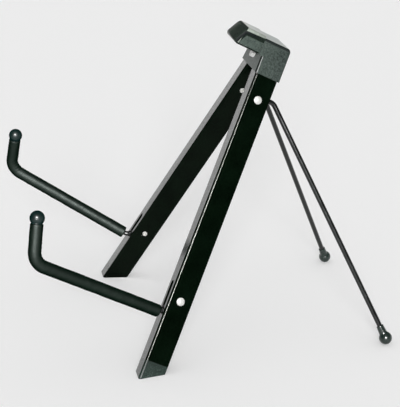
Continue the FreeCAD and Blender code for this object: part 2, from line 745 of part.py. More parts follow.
def show(name, point):
    print(f"{name}: {point.x:.3f} {point.y:.3f} {point.z:.3f}")


box_size = Vector(whole_box.XLength, whole_box.YLength, whole_box.ZLength)
show("box", box_size)
show("hinge", to_origin + head_frame.multVec(Vector(0, 0, value(HINGE_RISE))))
show("hinge axis", head_frame.Rotation.multVec(Vector(0, -1, 0)))
for leg_side in (RIGHT, LEFT):
    frame = Placement(to_origin, Rotation()) * leg_frame(leg_side)
    show(f"{SIDE_NAMES[leg_side]} arm pivot", frame.multVec(arm_points(leg_side)[0]))
    show(f"{SIDE_NAMES[leg_side]} rear pivot", frame.multVec(rear_points(leg_side)[0]))
    show(f"{SIDE_NAMES[leg_side]} fold axis", frame.Rotation.multVec(Vector(-1, 0, 0)))
    show(f"{SIDE_NAMES[leg_side]} foot", frame.multVec(Vector(0, 0, 0)))
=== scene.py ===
import json
import math

import bmesh
import bpy
from mathutils import Matrix, Vector, noise


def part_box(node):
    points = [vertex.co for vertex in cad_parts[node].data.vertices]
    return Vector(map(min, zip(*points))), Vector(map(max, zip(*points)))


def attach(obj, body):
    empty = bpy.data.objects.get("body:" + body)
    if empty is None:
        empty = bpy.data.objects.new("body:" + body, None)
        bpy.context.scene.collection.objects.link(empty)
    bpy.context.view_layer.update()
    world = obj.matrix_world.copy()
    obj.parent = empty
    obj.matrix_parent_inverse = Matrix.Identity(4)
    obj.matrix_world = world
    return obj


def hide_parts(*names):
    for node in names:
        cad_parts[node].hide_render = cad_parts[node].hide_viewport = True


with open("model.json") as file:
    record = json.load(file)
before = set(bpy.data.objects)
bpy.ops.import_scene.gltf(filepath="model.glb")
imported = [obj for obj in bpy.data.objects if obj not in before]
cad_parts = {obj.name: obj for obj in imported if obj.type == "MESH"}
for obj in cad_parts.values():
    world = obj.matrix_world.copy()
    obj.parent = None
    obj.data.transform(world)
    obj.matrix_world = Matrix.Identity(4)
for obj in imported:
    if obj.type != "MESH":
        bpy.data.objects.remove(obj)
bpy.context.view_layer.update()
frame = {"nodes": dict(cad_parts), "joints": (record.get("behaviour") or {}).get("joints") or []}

joints = {joint["name"]: joint for joint in frame["joints"]}

# The two halves of the stand, with the sign of their place across it
SIDES = {"right": 1, "left": -1}

# Points this close together, in metres, count as one
TOUCHING = 1e-6

# Arms, in metres and degrees
CRANK_REACH = 0.0155
ARM_DROP = 0.0169
ARM_TOE_OUT = 13.6
ARM_LENGTH = 0.1554
ARM_BEND = 0.017
UPTURN_LENGTH = 0.0443
UPTURN_LEAN = 18.9
ROD_RADIUS = 0.0028
FIT_GAP = 0.0001
ROD_BORE = ROD_RADIUS + FIT_GAP

# Foam sleeves
SLEEVE_RADIUS = 0.0066
SLEEVE_START = {"right": 0.0010, "left": 0.0036}
SLEEVE_SIDES = 56
SLEEVE_REACH_STEPS = 90
SLEEVE_BEND_STEPS = 26
SLEEVE_UPTURN_STEPS = 20
SLEEVE_ROUND = 0.0009
SLEEVE_ROUND_STEPS = 3
SLEEVE_RIPPLE = 0.00022
COARSE_LUMPS = 110
FINE_LUMPS = 260
FINE_LUMP_SHARE = 0.5
SLEEVE_PUCKER = 0.00035
PUCKER_SPACING = 0.0032
PUCKER_REACH = 0.037

# Balls on the arms' ends
TIP_RADIUS = 0.0075
TIP_BASE = 0.0056
TIP_SOCKET = 0.003
TIP_SIDES = 64
TIP_LOWER_STEPS = 14
TIP_UPPER_STEPS = 24
COLLAR_RADIUS = 0.0058
COLLAR_HEIGHT = 0.0010
COLLAR_ROUND = 0.0003
MOULD_LINE_DEPTH = 0.00008
MOULD_LINE_ANGLE = 2.4

# Rear legs and their ball feet
REAR_ELBOW_REACH = 0.021
REAR_ELBOW_ANGLE = 18.0
BALL_RADIUS = 0.007
BALL_SIDES = 56
BALL_STEPS = 30
NECK_LENGTH = 0.015
NECK_TOP = 0.0034
NECK_BASE = 0.0042
NECK_LIP = 0.0004
NECK_LIP_HEIGHT = 0.0012
NECK_FLARE = 0.0008
FLARE_HEIGHT = 0.0035
FLARE_STEPS = 8
FLARE_EASE = 3
FOOT_SOCKET_DEPTH = 0.004

# Head, measured up from the hinge: its roof and the dark band along the roof's edge
ROOF_RISE = 0.0222
TOP_BAND = 0.0026
TOP_BAND_BLUR = 0.0002

# Head, measured forward from the hinge: where it turns paler
PALER_START = -0.01
PALER_END = 0.032

# Foot caps, measured up from the floor: where they are scuffed
SCUFF_HEIGHT = 0.014

# Rubber nose, measured forward and up from the hinge
NOSE_HALF_WIDTH = 0.0196
NOSE_REAR = 0.017
NOSE_LOW = 0.0044
NOSE_HIGH = 0.0246
NOSE_FRONT_HIGH = 0.0395
NOSE_FRONT_LOW = 0.0489
NOSE_TOP_LAP = 0.0079
NOSE_UNDER_LAP = 0.0018
NOSE_WALL = 0.0058
NOSE_FOOT_TRIM = 0.007
NOSE_FOOT_STEPS = 10
NOSE_TOP_ROUND = 0.0046
NOSE_TOP_STEPS = 8
NOSE_RIM_ROUND = 0.0016
NOSE_RIM_STEPS = 4
NOSE_RIM_TURN = math.radians(40)

# Directions: the legs' webs face forward, at a right angle to the plane of the two legs
ACROSS = Vector((1, 0, 0))
BACK = Vector((0, 1, 0))
UP = Vector((0, 0, 1))
FORWARD = Vector(joints["head_fold"]["axis"]).normalized()
HINGE = Vector(joints["head_fold"]["pos_m"])
HEAD_UP = ACROSS.cross(-FORWARD)

# Colours of each finish, from its darkest places to its palest
LEG_TONES = (0.0006, 0.0024, 0.001), (0.003, 0.0085, 0.004)
ROD_TONES = (0.0025, 0.0038, 0.0032), (0.006, 0.0085, 0.0075)
# The head's darkest tone is also the painted shade of its upright front corner, and its palest
# the painted light on its top
HEAD_TONES = ((0.002, 0.008, 0.006), (0.002, 0.012, 0.009), (0.104, 0.142, 0.12),
              (0.44, 0.49, 0.46))
# The foot caps' darkest tone is painted shade on their inner faces
FOOT_CAP_TONES = (0.001, 0.003, 0.0015), (0.014, 0.034, 0.025), (0.1, 0.14, 0.12)
RIVET_TONES = (0.7, 0.7, 0.67), (0.78, 0.78, 0.75)
# The pin's tones are painted light: the rivets' metal, made paler because the pin sits in the
# nose's shade
PIN_PAINTED_LIGHT_TONES = (0.92, 0.92, 0.9), (0.97, 0.97, 0.95)
NYLON_TONES = (0.012, 0.013, 0.012), (0.022, 0.024, 0.023)
FOAM_TONES = (0.002, 0.007, 0.004), (0.008, 0.018, 0.012)
TIP_TONES = (0.003, 0.016, 0.015), (0.01, 0.03, 0.028)
FOOT_RUBBER_TONES = (0.008, 0.018, 0.014), (0.024, 0.041, 0.035)
# The nose's darkest tone is painted shade on its sides, and its palest painted light on its top
# and shoulders
NOSE_TONES = (0.002, 0.007, 0.007), (0.032, 0.058, 0.036), (0.52, 0.57, 0.51)
LEG_REFLECTION = (1.0, 1.0, 0.94, 1.0)
FOAM_REFLECTION = (0.88, 1.0, 0.94, 1.0)
WHITE = (1.0, 1.0, 1.0, 1.0)
BLACK = (0.0, 0.0, 0.0, 1.0)


def leg_axes(side):
    """Across the leg to the right, to its rear and up along it."""
    across = -Vector(joints[f"{side}_arm_fold"]["axis"]).normalized()
    return across, -FORWARD, across.cross(-FORWARD)


def standing_on(centre, direction):
    """The place of a shape whose vertical axis stands along a direction."""
    turn = UP.rotation_difference(direction).to_matrix().to_4x4()
    return Matrix.Translation(centre) @ turn


def new_object(name, mesh, finish):
    """Turn a bmesh into an object of the scene with its finish."""
    data = bpy.data.meshes.new(name)
    mesh.to_mesh(data)
    mesh.free()
    data.materials.append(finish)
    made = bpy.data.objects.new(name, data)
    bpy.context.scene.collection.objects.link(made)
    return made


def finished(name, mesh, body, finish):
    """Turn a bmesh into a smooth piece that rides on a body, with its finish."""
    bmesh.ops.recalc_face_normals(mesh, faces=mesh.faces)
    piece = new_object(name, mesh, finish)
    piece.data.shade_smooth()
    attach(piece, body)
    return piece


def round_off(mesh, items, width, steps, affect="EDGES"):
    """Round edges, or corners of a flat shape, in so many steps."""
    bmesh.ops.bevel(mesh, geom=items, offset=width, affect=affect, segments=steps,
                    profile=0.5, material=-1)


# Node groups and materials

def place(tree, kind, settings=None, **values):
    """Add a node, set its properties, and set or link its named inputs."""
    item = tree.nodes.new(kind)
    for name, value in (settings or {}).items():
        setattr(item, name, value)
    for name, value in values.items():
        feed(tree, item.inputs[name.replace("_", " ")], value)
    return item


def feed(tree, socket, value):
    """Link a socket to another, or set it to a plain value."""
    if isinstance(value, bpy.types.NodeSocket):
        tree.links.new(value, socket)
    else:
        socket.default_value = value


def reckon(tree, operation, first, second=0.0):
    """The result of a sum on one or two sockets or numbers."""
    item = place(tree, "ShaderNodeMath", {"operation": operation})
    feed(tree, item.inputs[0], first)
    feed(tree, item.inputs[1], second)
    return item.outputs["Value"]


def new_group(name, inputs, output):
    """An empty node group with a vector input, number inputs and one number output."""
    group = bpy.data.node_groups.new(name, "ShaderNodeTree")
    group.interface.new_socket("Vector", in_out="INPUT", socket_type="NodeSocketVector")
    for title, start in inputs.items():
        made = group.interface.new_socket(title, in_out="INPUT", socket_type="NodeSocketFloat")
        made.default_value = start
    group.interface.new_socket(output, in_out="OUTPUT", socket_type="NodeSocketFloat")
    given = group.nodes.new("NodeGroupInput")
    return group, given.outputs, group.nodes.new("NodeGroupOutput").inputs[output]


def mottle_group():
    """Soft cloudy variation from 0 to 1, for colour and gloss."""
    group, given, result = new_group("mottle", {"Scale": 60.0, "Detail": 4.0}, "Mask")
    cloud = place(group, "ShaderNodeTexNoise", Vector=given["Vector"], Scale=given["Scale"],
                  Detail=given["Detail"], Roughness=0.55)
    spread = place(group, "ShaderNodeMapRange", {"clamp": True}, Value=cloud.outputs["Fac"],
                   From_Min=0.32, From_Max=0.68)
    feed(group, result, spread.outputs["Result"])
    return group


def grain_group():
    """The fine pebbled surface of moulded plastic, as a height from 0 to 1."""
    group, given, result = new_group("moulded_grain", {"Scale": 900.0, "Softness": 0.5}, "Height")
    pebble = place(group, "ShaderNodeTexVoronoi", {"feature": "SMOOTH_F1"},
                   Vector=given["Vector"], Scale=given["Scale"], Smoothness=given["Softness"])
    dust = place(group, "ShaderNodeTexNoise", Vector=given["Vector"], Scale=given["Scale"],
                 Detail=3.0)
    height = reckon(group, "MULTIPLY", pebble.outputs["Distance"], dust.outputs["Fac"])
    feed(group, result, height)
    return group


MOTTLE = mottle_group()
GRAIN = grain_group()


class Finish:
    """A material under way: its node tree, its Principled node, and its places and normals."""

    def __init__(self, name, **values):
        self.material = bpy.data.materials.new(name)
        self.material.use_nodes = True
        self.tree = self.material.node_tree
        self.shader = self.tree.nodes["Principled BSDF"]
        for title, value in values.items():
            self.shader.inputs[title.replace("_", " ")].default_value = value
        given = place(self.tree, "ShaderNodeTexCoord").outputs
        self.where = given["Object"]
        self.normal = given["Normal"]

    # Patterns and masks

    def mottle(self, scale, detail=4.0):
        """A cloudy mask over the surface, with so many clouds to the metre."""
        made = place(self.tree, "ShaderNodeGroup", {"node_tree": MOTTLE},
                     Vector=self.where, Scale=scale, Detail=detail)
        return made.outputs["Mask"]

    def grain(self, scale, softness=0.5):
        """A pebbled height over the surface, with so many pebbles to the metre."""
        made = place(self.tree, "ShaderNodeGroup", {"node_tree": GRAIN},
                     Vector=self.where, Scale=scale, Softness=softness)
        return made.outputs["Height"]

    def product(self, first, second):
        """Two masks multiplied."""
        return reckon(self.tree, "MULTIPLY", first, second)

    def larger(self, first, second):
        """The larger of two masks."""
        return reckon(self.tree, "MAXIMUM", first, second)

    def opposite(self, mask):
        """A mask turned round, 1 where it was 0."""
        return reckon(self.tree, "SUBTRACT", 1.0, mask)

    def blend(self, first, second, share):
        """Two masks added, the second with a share of the whole."""
        main = self.product(first, 1 - share)
        return reckon(self.tree, "ADD", main, self.product(second, share))

    def along(self, vector, direction):
        """How far a vector socket reaches along a direction."""
        reach = place(self.tree, "ShaderNodeVectorMath", {"operation": "DOT_PRODUCT"})
        feed(self.tree, reach.inputs[0], vector)
        feed(self.tree, reach.inputs[1], direction)
        return reach.outputs["Value"]

    def spread(self, value, start, end, low=0.0, high=1.0):
        """A value's rise from start to end, as a rise from low to high."""
        made = place(self.tree, "ShaderNodeMapRange", Value=value, From_Min=start, From_Max=end,
                     To_Min=low, To_Max=high)
        return made.outputs["Result"]

    def fade(self, value, start, end):
        """A mask that falls from 1 to 0 as a value rises from start to end."""
        return self.spread(value, start, end, 1.0, 0.0)

    def between(self, mask, low, high):
        """A mask's rise from 0 to 1, as a rise from low to high."""
        return self.spread(mask, 0.0, 1.0, low, high)

    def outward(self, start, end):
        """A mask that rises as the surface turns from the stand's middle to its outside."""
        side = reckon(self.tree, "SIGN", self.along(self.where, ACROSS))
        turned = self.product(self.along(self.normal, ACROSS), side)
        return self.spread(turned, start, end)

    def turning_away(self, low, high):
        """0 where the surface faces the eye, rising to 1 where it turns away."""
        facing = place(self.tree, "ShaderNodeLayerWeight", Blend=0.5)
        made = place(self.tree, "ShaderNodeMapRange", {"interpolation_type": "SMOOTHSTEP"},
                     Value=facing.outputs["Facing"], From_Min=low, From_Max=high)
        return made.outputs["Result"]

    # What the masks set on the surface

    def colours(self, mask, *tones):
        """Base colour along a row of tones, by a mask."""
        ramp = place(self.tree, "ShaderNodeValToRGB", Fac=mask)
        stops = ramp.color_ramp.elements
        for number, tone in enumerate(tones):
            place_on_row = number / (len(tones) - 1)
            stop = stops[number] if number < len(stops) else stops.new(place_on_row)
            stop.position = place_on_row
            stop.color = (*tone, 1.0)
        feed(self.tree, self.shader.inputs["Base Color"], ramp.outputs["Color"])

    def gloss(self, mask, low, high):
        """Roughness between two values, by a mask."""
        feed(self.tree, self.shader.inputs["Roughness"], self.between(mask, low, high))

    def relief(self, height, depth):
        """A bump of a given depth in metres."""
        bump = place(self.tree, "ShaderNodeBump", Height=height, Distance=depth)
        feed(self.tree, self.shader.inputs["Normal"], bump.outputs["Normal"])

    def sheen(self, level):
        """The strength of the reflection, by a mask."""
        feed(self.tree, self.shader.inputs["Specular IOR Level"], level)

    def facing_sheen(self, level, low, high):
        """A reflection that fades out where the surface turns away from the eye."""
        faced = self.opposite(self.turning_away(low, high))
        self.sheen(self.product(faced, level))

    def grazing_coat(self, low, high, share=1.0):
        """A clear coat that shows only where the surface turns away from the eye."""
        weight = self.product(self.turning_away(low, high), share)
        feed(self.tree, self.shader.inputs["Coat Weight"], weight)


def leg_paint():
    """Gloss black paint on sheet steel, with a faint orange peel and a painted highlight along
    the outer folds.
    """
    finish = Finish("gloss_black_paint", Specular_Tint=LEG_REFLECTION, Coat_Roughness=0.2,
                    Coat_IOR=2.5)
    cloud = finish.blend(finish.mottle(45.0), finish.mottle(700.0, 2.0), 0.5)
    finish.colours(cloud, *LEG_TONES)
    finish.gloss(finish.mottle(60.0), 0.1, 0.16)
    finish.relief(finish.mottle(520.0, 2.0), 0.00001)
    finish.grazing_coat(0.3, 0.66, finish.between(finish.mottle(420.0, 3.0), 0.7, 1.0))
    # Painted highlight: a stronger reflection on the outer folds draws a bright line along them
    towards_web = finish.along(finish.normal, FORWARD)
    fold = finish.product(finish.spread(towards_web, 0.02, 0.3),
                          finish.fade(towards_web, 0.7, 0.98))
    outer_fold_highlight = finish.product(fold, finish.outward(0.1, 0.4))
    finish.sheen(finish.between(outer_fold_highlight, 0.05, 0.5))
    return finish.material


def rod_paint():
    """Gloss black paint on round wire."""
    finish = Finish("gloss_black_rod", Specular_IOR_Level=0.5, Coat_Roughness=0.12)
    cloud = finish.mottle(90.0)
    finish.colours(cloud, *ROD_TONES)
    finish.gloss(cloud, 0.16, 0.26)
    finish.relief(finish.mottle(700.0, 2.0), 0.00001)
    finish.grazing_coat(0.4, 0.8)
    return finish.material


def head_plastic():
    """Grey-green satin plastic with a moulded grain, a dark band along the roof's edge, painted
    shade on its upright front corner and painted light on its pale top.
    """
    finish = Finish("moulded_grey_plastic", Coat_Roughness=0.45, Coat_IOR=2.2)

    # Speckled, and paler towards the front
    hinge_ahead = HINGE.dot(FORWARD)
    paler_part = finish.spread(finish.along(finish.where, FORWARD), hinge_ahead + PALER_START,
                           hinge_ahead + PALER_END)
    speckle = finish.blend(finish.mottle(38.0, 5.0), finish.mottle(480.0, 2.0), 0.75)
    cloud = finish.blend(speckle, paler_part, 0.4)

    # First to second tone in the band along the roof's edge, second to third on the sides
    band_base = HINGE.dot(HEAD_UP) + ROOF_RISE - TOP_BAND
    below_band = finish.fade(finish.along(finish.where, HEAD_UP), band_base - TOP_BAND_BLUR,
                             band_base + TOP_BAND_BLUR)
    tone = reckon(finish.tree, "ADD", cloud, below_band)
    place_on_row = reckon(finish.tree, "DIVIDE", tone, len(HEAD_TONES) - 1)

    # Painted shade makes the upright front corner dark, and a painted highlight, a stronger
    # reflection, makes a light line beside it
    ahead = finish.along(finish.normal, FORWARD)
    before_corner = finish.fade(ahead, 0.4, 0.5)
    clear_of_corner_shade = finish.larger(before_corner, finish.spread(ahead, 0.95, 0.99))
    corner_highlight = finish.product(finish.spread(ahead, 0.08, 0.2), before_corner)

    # Painted light gives the top the palest tone, and the top reflects only through its coat
    on_top = finish.spread(finish.along(finish.normal, HEAD_UP), 0.93, 0.995)
    finish.colours(finish.larger(finish.product(place_on_row, clear_of_corner_shade), on_top), *HEAD_TONES)
    finish.sheen(finish.product(finish.between(corner_highlight, 0.2, 0.6), finish.opposite(on_top)))
    finish.gloss(finish.mottle(50.0), 0.46, 0.56)
    finish.relief(finish.grain(1000.0), 0.00012)
    finish.grazing_coat(0.57, 0.75)
    return finish.material


def foot_plastic():
    """The same plastic on the feet, with painted shade on the inner faces and a stronger painted
    reflection on the outer ones, and scuffed paler outside near the floor.
    """
    finish = Finish("scuffed_and_shaded_foot_plastic", Coat_Roughness=0.25, Coat_IOR=2.0)
    # Painted shade: the inner faces take the darkest tone, and the outer faces a stronger painted
    # reflection
    outer = finish.outward(-0.6, 0.4)
    near_floor = finish.fade(finish.along(finish.where, UP), 0.0, SCUFF_HEIGHT)
    scuffs = finish.product(near_floor, finish.mottle(600.0, 6.0))
    cloud = finish.blend(finish.mottle(38.0, 5.0), finish.mottle(950.0, 2.0), 0.6)
    finish.colours(finish.product(finish.blend(cloud, scuffs, 0.4), outer), *FOOT_CAP_TONES)
    finish.sheen(finish.between(outer, 0.03, 0.2))
    finish.gloss(finish.mottle(50.0), 0.36, 0.48)
    finish.relief(finish.grain(1000.0), 0.0001)
    finish.grazing_coat(0.4, 0.7)
    return finish.material


def bright_metal(name, *tones):
    """Bright satin metal of the rivets and the hinge pin."""
    finish = Finish(name, Metallic=0.1)
    cloud = finish.mottle(260.0)
    finish.colours(cloud, *tones)
    finish.gloss(cloud, 0.48, 0.58)
    finish.relief(finish.grain(2600.0), 0.00002)
    return finish.material


def spacer_nylon():
    """Dull black nylon of the spacers."""
    finish = Finish("black_nylon", Specular_IOR_Level=0.4)
    cloud = finish.mottle(200.0)
    finish.colours(cloud, *NYLON_TONES)
    finish.gloss(cloud, 0.45, 0.6)
    return finish.material


def black_foam():
    """Closed-cell foam: fine pores in a soft, dull black skin."""
    finish = Finish("black_foam", Specular_Tint=FOAM_REFLECTION)
    cloud = finish.blend(finish.mottle(70.0, 5.0), finish.mottle(850.0, 2.0), 0.5)
    finish.colours(cloud, *FOAM_TONES)
    finish.gloss(finish.mottle(90.0), 0.44, 0.54)
    finish.facing_sheen(0.3, 0.02, 0.4)
    finish.relief(finish.grain(1500.0, 0.25), 0.0002)
    return finish.material


def ball_plastic():
    """Gloss black plastic of the arms' ball ends."""
    finish = Finish("gloss_ball_plastic")
    cloud = finish.mottle(150.0)
    finish.colours(cloud, *TIP_TONES)
    finish.gloss(cloud, 0.33, 0.4)
    finish.facing_sheen(0.45, 0.08, 0.45)
    return finish.material


def foot_rubber():
    """Half-gloss black rubber of the rear feet."""
    finish = Finish("black_foot_rubber", Specular_IOR_Level=0.5)
    cloud = finish.blend(finish.mottle(140.0, 5.0), finish.mottle(900.0, 2.0), 0.4)
    finish.colours(cloud, *FOOT_RUBBER_TONES)
    finish.gloss(finish.mottle(120.0), 0.2, 0.32)
    finish.relief(finish.grain(1400.0), 0.00003)
    return finish.material


def nose_rubber():
    """Dull dark rubber, with painted light, broken by a fine mottle, on its top and shoulders,
    and painted shade making its sides darkest.
    """
    finish = Finish("nose_rubber", Specular_IOR_Level=0.15, Coat_Roughness=0.3)
    cloud = finish.blend(finish.mottle(55.0, 6.0), finish.mottle(900.0, 2.0), 0.5)
    # Painted shade: faces turned to the sides take darker tones
    sideways = reckon(finish.tree, "ABSOLUTE", finish.along(finish.normal, ACROSS))
    cloud_with_side_shade = finish.product(cloud, finish.spread(sideways, 0.7, 0.95, 0.5, 0.0))
    # Painted light, broken by a fine mottle, makes the top and shoulders pale
    upward = finish.spread(finish.along(finish.normal, HEAD_UP), 0.24, 0.34)
    behind_front = finish.fade(finish.along(finish.normal, FORWARD), 0.15, 0.4)
    top_light_mottle = finish.between(finish.mottle(300.0), 0.86, 1.0)
    paler_part = finish.product(finish.product(upward, behind_front), top_light_mottle)
    finish.colours(finish.larger(cloud_with_side_shade, paler_part), *NOSE_TONES)
    finish.gloss(finish.mottle(70.0), 0.62, 0.78)
    finish.relief(finish.grain(1100.0), 0.0001)
    finish.grazing_coat(0.7, 0.86)
    return finish.material


ROD_PAINT = rod_paint()
HEAD_PLASTIC = head_plastic()
FOAM = black_foam()
BALL = ball_plastic()
FOOT_RUBBER = foot_rubber()
NOSE_RUBBER = nose_rubber()

# The finish of each CAD node, by the end of its name
CAD_FINISHES = {
    "leg_channel": leg_paint(),
    "arm_rod": ROD_PAINT,
    "rear_rod": ROD_PAINT,
    "foot_cap": foot_plastic(),
    "head_block": HEAD_PLASTIC,
    "head_cap": HEAD_PLASTIC,
    "rivet": bright_metal("bright_rivet_metal", *RIVET_TONES),
    "hinge_pin": bright_metal("bright_pin_metal", *PIN_PAINTED_LIGHT_TONES),
    "spacers": spacer_nylon(),
    "arm_foam": FOAM,
    "arm_tip": BALL,
    "rear_foot": FOOT_RUBBER,
    "nose_bumper": NOSE_RUBBER,
}


def dress_cad_nodes():
    """Give every CAD node the finish of its kind."""
    for name, node in frame["nodes"].items():
        finish = next(look for kind, look in CAD_FINISHES.items() if name.endswith(kind))
        node.data.materials.clear()
        node.data.materials.append(finish)


# Making the foam sleeves

def arm_route(side):
    """The arm's crank, far corner and tip, and its two directions."""
    across, rear, up = leg_axes(side)
    toe = math.radians(ARM_TOE_OUT)
    lean = math.radians(UPTURN_LEAN)
    ahead = across * SIDES[side] * math.sin(toe) - rear * math.cos(toe)
    upward = ahead * math.sin(lean) + up * math.cos(lean)
    crank = Vector(joints[f"{side}_arm_fold"]["pos_m"]) - rear * CRANK_REACH - up * ARM_DROP
    corner = crank + ahead * ARM_LENGTH
    return crank, corner, corner + upward * UPTURN_LENGTH, ahead, upward


def new_ring(mesh, centre, direction, radius, count):
    """A circle of edges about a centre, square to a direction."""
    made = bmesh.ops.create_circle(mesh, segments=count, radius=radius,
                                   matrix=standing_on(centre, direction))
    points = set(made["verts"])
    return [edge for edge in mesh.edges if set(edge.verts) <= points]


def carry_on(mesh, ring, shift, steps):
    """Extrude a ring along a shift in equal steps and return the last ring."""
    for _ in range(steps):
        made = bmesh.ops.extrude_edge_only(mesh, edges=ring)["geom"]
        points = {item for item in made if isinstance(item, bmesh.types.BMVert)}
        bmesh.ops.translate(mesh, verts=list(points), vec=shift / steps)
        ring = [item for item in made if isinstance(item, bmesh.types.BMEdge)
                and set(item.verts) <= points]
    return ring


def sleeve_wall(mesh, side, radius):
    """One wall of a sleeve, along the arm and round its bend; returns its two end rings."""
    crank, corner, _, ahead, upward = arm_route(side)
    turn = ahead.angle(upward)
    trim = ARM_BEND * math.tan(turn / 2)
    start = crank + ahead * SLEEVE_START[side]
    bend_start = corner - ahead * trim
    inward = (upward - ahead * ahead.dot(upward)).normalized()
    first = new_ring(mesh, start, ahead, radius, SLEEVE_SIDES)
    ring = carry_on(mesh, first, bend_start - start, SLEEVE_REACH_STEPS)
    spun = bmesh.ops.spin(mesh, geom=ring, cent=bend_start + inward * ARM_BEND,
                          axis=ahead.cross(upward).normalized(), angle=turn,
                          steps=SLEEVE_BEND_STEPS)
    ring = [item for item in spun["geom_last"] if isinstance(item, bmesh.types.BMEdge)]
    rise = UPTURN_LENGTH - trim - TIP_BASE
    return first, carry_on(mesh, ring, upward * rise, SLEEVE_UPTURN_STEPS)


def soften(mesh, side):
    """Slight lumps all over a sleeve, and puckers where its bend presses the foam together."""
    _, corner, _, ahead, upward = arm_route(side)
    inside = (upward - ahead).normalized()
    through = (upward + ahead).normalized()
    for point in mesh.verts:
        fine = noise.noise(point.co * FINE_LUMPS)
        lump = noise.noise(point.co * COARSE_LUMPS) + FINE_LUMP_SHARE * fine
        nearness = max(0.0, 1 - (point.co - corner).length / PUCKER_REACH)
        pressed = max(0.0, point.normal.dot(inside))
        wave = math.cos((point.co - corner).dot(through) / PUCKER_SPACING * math.tau)
        shift = SLEEVE_RIPPLE * lump + SLEEVE_PUCKER * wave * nearness * pressed ** 2
        point.co += point.normal * shift


def foam_sleeve(side):
    """A foam tube over an arm, from the leg to the ball."""
    mesh = bmesh.new()
    outer_ends = sleeve_wall(mesh, side, SLEEVE_RADIUS)
    inner_ends = sleeve_wall(mesh, side, ROD_BORE)
    for outer, inner in zip(outer_ends, inner_ends):
        bmesh.ops.bridge_loops(mesh, edges=outer + inner)
    bmesh.ops.recalc_face_normals(mesh, faces=mesh.faces)
    rims = [edge for ring in outer_ends for edge in ring]
    round_off(mesh, rims, SLEEVE_ROUND, SLEEVE_ROUND_STEPS)
    mesh.normal_update()
    soften(mesh, side)
    piece = finished(f"{side}_foam_sleeve", mesh, f"{side}_arm", FOAM)
    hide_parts(f"{side}_arm_foam")


# Making the round ends

def turned_shape(mesh, outline, centre, direction, count):
    """Spin an outline of radius and height pairs about an axis through a centre."""
    points = [mesh.verts.new((radius, 0, height)) for radius, height in outline]
    edges = [mesh.edges.new(pair) for pair in zip(points, points[1:])]
    bmesh.ops.spin(mesh, geom=points + edges, cent=(0, 0, 0), axis=UP, angle=math.tau,
                   steps=count, use_merge=True)
    bmesh.ops.remove_doubles(mesh, verts=mesh.verts, dist=TOUCHING)
    bmesh.ops.transform(mesh, matrix=standing_on(centre, direction), verts=mesh.verts)


def arc(radius, start, end, steps):
    """Radius and height pairs round a circle on the axis, by angles up from level."""
    angles = [math.radians(start + (end - start) * step / steps) for step in range(steps + 1)]
    return [(radius * math.cos(angle), radius * math.sin(angle)) for angle in angles]


def arm_ball(side):
    """The ball on an arm's end, with a thin collar round its base and a mould line."""
    _, _, tip, _, upward = arm_route(side)
    collar_top = COLLAR_HEIGHT - TIP_BASE
    collar_inside = COLLAR_RADIUS - COLLAR_ROUND
    neck = math.degrees(math.asin(collar_top / TIP_RADIUS))
    outline = [(ROD_BORE, TIP_SOCKET - TIP_BASE), (ROD_BORE, -TIP_BASE),
               (collar_inside, -TIP_BASE), (COLLAR_RADIUS, COLLAR_ROUND - TIP_BASE),
               (COLLAR_RADIUS, collar_top - COLLAR_ROUND), (collar_inside, collar_top)]
    outline += arc(TIP_RADIUS, neck, -MOULD_LINE_ANGLE, TIP_LOWER_STEPS)
    outline += [(TIP_RADIUS - MOULD_LINE_DEPTH, 0.0)]
    outline += arc(TIP_RADIUS, MOULD_LINE_ANGLE, 90, TIP_UPPER_STEPS)
    mesh = bmesh.new()
    turned_shape(mesh, outline, tip, upward, TIP_SIDES)
    piece = finished(f"{side}_arm_ball", mesh, f"{side}_arm", BALL)
    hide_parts(f"{side}_arm_tip")


def rear_foot_place(side):
    """The middle of a rear ball foot, from its CAD box, and the direction up its rod."""
    low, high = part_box(f"{side}_rear_foot")
    outer = high.x if side == "right" else low.x
    middle = Vector((outer - SIDES[side] * BALL_RADIUS, high.y - BALL_RADIUS, BALL_RADIUS))
    _, rear, up = leg_axes(side)
    rise = math.radians(REAR_ELBOW_ANGLE)
    pivot = Vector(joints[f"{side}_rear_fold"]["pos_m"])
    elbow = pivot + (rear * math.cos(rise) + up * math.sin(rise)) * REAR_ELBOW_REACH
    return middle, (elbow - middle).normalized()


def rear_foot(side):
    """A rubber ball foot with a neck that flares into the ball."""
    centre, upward = rear_foot_place(side)
    join = math.degrees(math.acos((NECK_BASE + NECK_FLARE) / BALL_RADIUS))
    outline = arc(BALL_RADIUS, -90, join, BALL_STEPS)
    join_radius, join_height = outline[-1]
    for step in range(1, FLARE_STEPS + 1):
        share = step / FLARE_STEPS
        eased = 1 - (1 - share) ** FLARE_EASE
        outline.append((join_radius + (NECK_BASE - join_radius) * eased,
                        join_height + share * FLARE_HEIGHT))
    outline += [(NECK_TOP + NECK_LIP, NECK_LENGTH - NECK_LIP_HEIGHT),
                (NECK_TOP + NECK_LIP, NECK_LENGTH - NECK_LIP), (NECK_TOP, NECK_LENGTH),
                (ROD_BORE, NECK_LENGTH), (ROD_BORE, NECK_LENGTH - FOOT_SOCKET_DEPTH)]
    mesh = bmesh.new()
    turned_shape(mesh, outline, centre, upward, BALL_SIDES)
    piece = finished(f"{side}_rubber_foot", mesh, f"{side}_rear_leg", FOOT_RUBBER)
    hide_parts(f"{side}_rear_foot")


# Making the rubber nose

